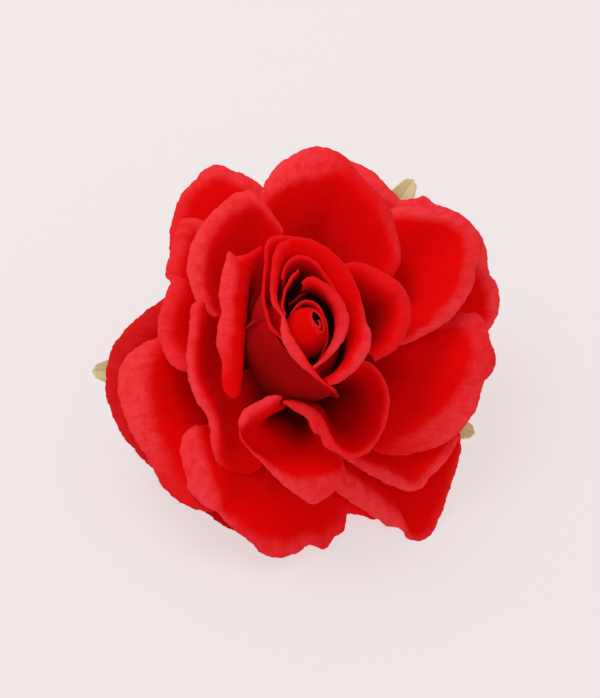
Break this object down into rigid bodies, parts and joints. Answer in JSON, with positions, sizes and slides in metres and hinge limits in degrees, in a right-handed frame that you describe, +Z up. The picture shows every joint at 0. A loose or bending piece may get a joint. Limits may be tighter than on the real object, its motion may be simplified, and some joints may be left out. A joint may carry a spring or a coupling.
{
  "type": "boutonniere flower",
  "caption": "Red fabric rose for a buttonhole: die-cut petal whorls round a wound bud, with a green calyx and a short taped wire stem, lying on its petals.",
  "frame": {"origin": "on the table, under the middle of the flower's bounding box", "axes": "+Z up from the table; +X to the right and +Y away, seen by a viewer whom the flower's face leans towards"},
  "size_m": [0.0912, 0.0833, 0.0625],
  "materials": {
    "petal_cloth": "matt red polyester cloth, softly sheened, paler on the rolled rims",
    "bud_cloth": "the same cloth, deeper in the folds",
    "calyx_green": "moulded, yellow-green, satin",
    "wire": "plain wire, cut square",
    "tape": "waxed crepe tape, dark green"
  },
  "bodies": {
    "root": {"outer_whorl": "petal_cloth", "second_whorl": "petal_cloth", "third_whorl": "petal_cloth", "inner_whorl": "petal_cloth", "bud": "bud_cloth", "calyx": "calyx_green", "stem_wire": "wire", "stem_wrap": "tape"}
  },
  "joints": []
}
